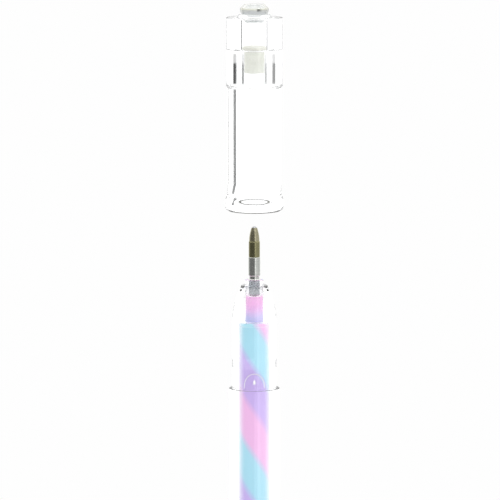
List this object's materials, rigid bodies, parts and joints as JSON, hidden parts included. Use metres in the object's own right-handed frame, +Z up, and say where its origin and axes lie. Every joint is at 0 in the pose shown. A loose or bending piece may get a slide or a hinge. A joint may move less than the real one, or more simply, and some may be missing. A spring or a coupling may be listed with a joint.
{
  "type": "gel pen",
  "caption": "Clear stick gel pen with twisted pastel ink bands, brass and nickel writing tip, and a clear push-on cap lifted off above the tip.",
  "frame": {"origin": "centre of the rear plug's flat end face, on the pen's axis", "axes": "+Z up the pen's axis from the rear plug to the writing tip and the cap; -Y is the side that carries the small snap pip"},
  "size_m": [0.0114, 0.0114, 0.1843],
  "materials": {
    "clear_barrel": "clear, colourless, polished moulded styrene",
    "clear_cap": "clear, colourless, polished moulded styrene",
    "clear_refill": "clear, slightly hazy polypropylene",
    "milky_plug": "translucent milky polypropylene",
    "seal_white": "matt off-white elastomer",
    "nickel": "turned nickel silver, fine turning marks",
    "brass": "turned brass, lightly tarnished",
    "ball_metal": "polished hard metal",
    "ink_blue": "opaque pastel light blue gel",
    "ink_purple": "opaque pastel purple gel",
    "ink_pink": "opaque pastel pink gel",
    "ink_mixed": "pastel gel where the bands narrow into the neck",
    "grease": "translucent pale grease"
  },
  "bodies": {
    "pen_body": {"barrel": "clear_barrel", "rear_plug": "milky_plug", "refill_tube": "clear_refill", "refill_connector": "clear_refill", "tip_sleeve": "nickel", "tip_point": "brass", "ink_feed": "ink_mixed", "ink_blue": "ink_blue", "ink_purple": "ink_purple", "ink_pink": "ink_pink"},
    "cap": {"cap_shell": "clear_cap", "cap_crown": "clear_cap", "cap_seal": "seal_white"},
    "ball": {"tip_ball": "ball_metal"},
    "follower": {"ink_follower": "grease"}
  },
  "joints": [
    {"name": "cap_slide", "type": "slide", "parent": "pen_body", "child": "cap", "axis": [0, 0, 1], "range_m": [-0.0341, 0]},
    {"name": "ball_roll", "type": "hinge", "parent": "pen_body", "child": "ball", "pos_m": [0, 0, 0.1409], "axis": [1, 0, 0], "continuous": true},
    {"name": "follower_slide", "type": "slide", "parent": "pen_body", "child": "follower", "axis": [0, 0, 1], "range_m": [0, 0.085], "deforming": ["ink_blue", "ink_purple", "ink_pink"]}
  ]
}
